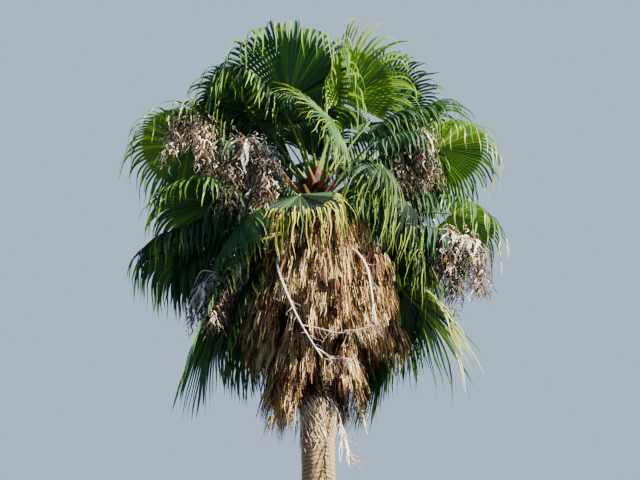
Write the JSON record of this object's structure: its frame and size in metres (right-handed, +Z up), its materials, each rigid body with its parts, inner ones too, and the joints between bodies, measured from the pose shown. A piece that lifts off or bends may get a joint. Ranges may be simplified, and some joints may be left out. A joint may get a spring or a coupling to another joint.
{
  "type": "mexican fan palm tree",
  "caption": "Tall fan palm on a single rooted trunk, with a round crown of green fan fronds, dried fruit stalks and a skirt of dead fronds.",
  "frame": {"origin": "on the flat cut under the trunk at ground level, at the middle of the trunk's foot", "axes": "+Z up along the trunk, -Y towards the viewer of the picture, +X to the viewer's right"},
  "size_m": [4.3359, 3.61, 13.5461],
  "materials": {
    "bark": "rough, ringed, fibrous",
    "green_frond": "satin leaf",
    "dead_frond": "dry, matt straw",
    "dried_fruit": "dry, matt",
    "bleached_stalk": "weathered, matt"
  },
  "bodies": {
    "root": {"bare_stalk_1": "bleached_stalk", "bare_stalk_2": "bleached_stalk", "bare_stalk_3": "bleached_stalk", "frond_01": "green_frond", "frond_02": "green_frond", "frond_03": "green_frond", "frond_04": "green_frond", "frond_05": "green_frond", "frond_06": "green_frond", "frond_07": "green_frond", "frond_08": "green_frond", "frond_09": "green_frond", "frond_10": "green_frond", "frond_11": "green_frond", "frond_12": "green_frond", "frond_13": "green_frond", "frond_14": "green_frond", "frond_15": "green_frond", "frond_16": "green_frond", "frond_17": "green_frond", "frond_18": "green_frond", "frond_19": "green_frond", "frond_20": "green_frond", "frond_21": "green_frond", "frond_22": "green_frond", "frond_23": "green_frond", "frond_24": "green_frond", "frond_25": "green_frond", "frond_26": "green_frond", "frond_27": "green_frond", "frond_28": "green_frond", "frond_29": "green_frond", "frond_30": "green_frond", "frond_31": "green_frond", "frond_32": "green_frond", "frond_33": "green_frond", "frond_34": "green_frond", "frond_35": "green_frond", "frond_36": "green_frond", "fruit_stalk_1": "dried_fruit", "fruit_stalk_2": "dried_fruit", "fruit_stalk_3": "dried_fruit", "fruit_stalk_4": "dried_fruit", "fruit_stalk_5": "dried_fruit", "skirt_1_1": "dead_frond", "skirt_1_2": "dead_frond", "skirt_1_3": "dead_frond", "skirt_1_4": "dead_frond", "skirt_1_5": "dead_frond", "skirt_1_6": "dead_frond", "skirt_2_1": "dead_frond", "skirt_2_2": "dead_frond", "skirt_2_3": "dead_frond", "skirt_2_4": "dead_frond", "skirt_2_5": "dead_frond", "skirt_3_1": "dead_frond", "skirt_3_2": "dead_frond", "skirt_3_3": "dead_frond", "skirt_3_4": "dead_frond", "trunk": "bark"}
  },
  "joints": []
}
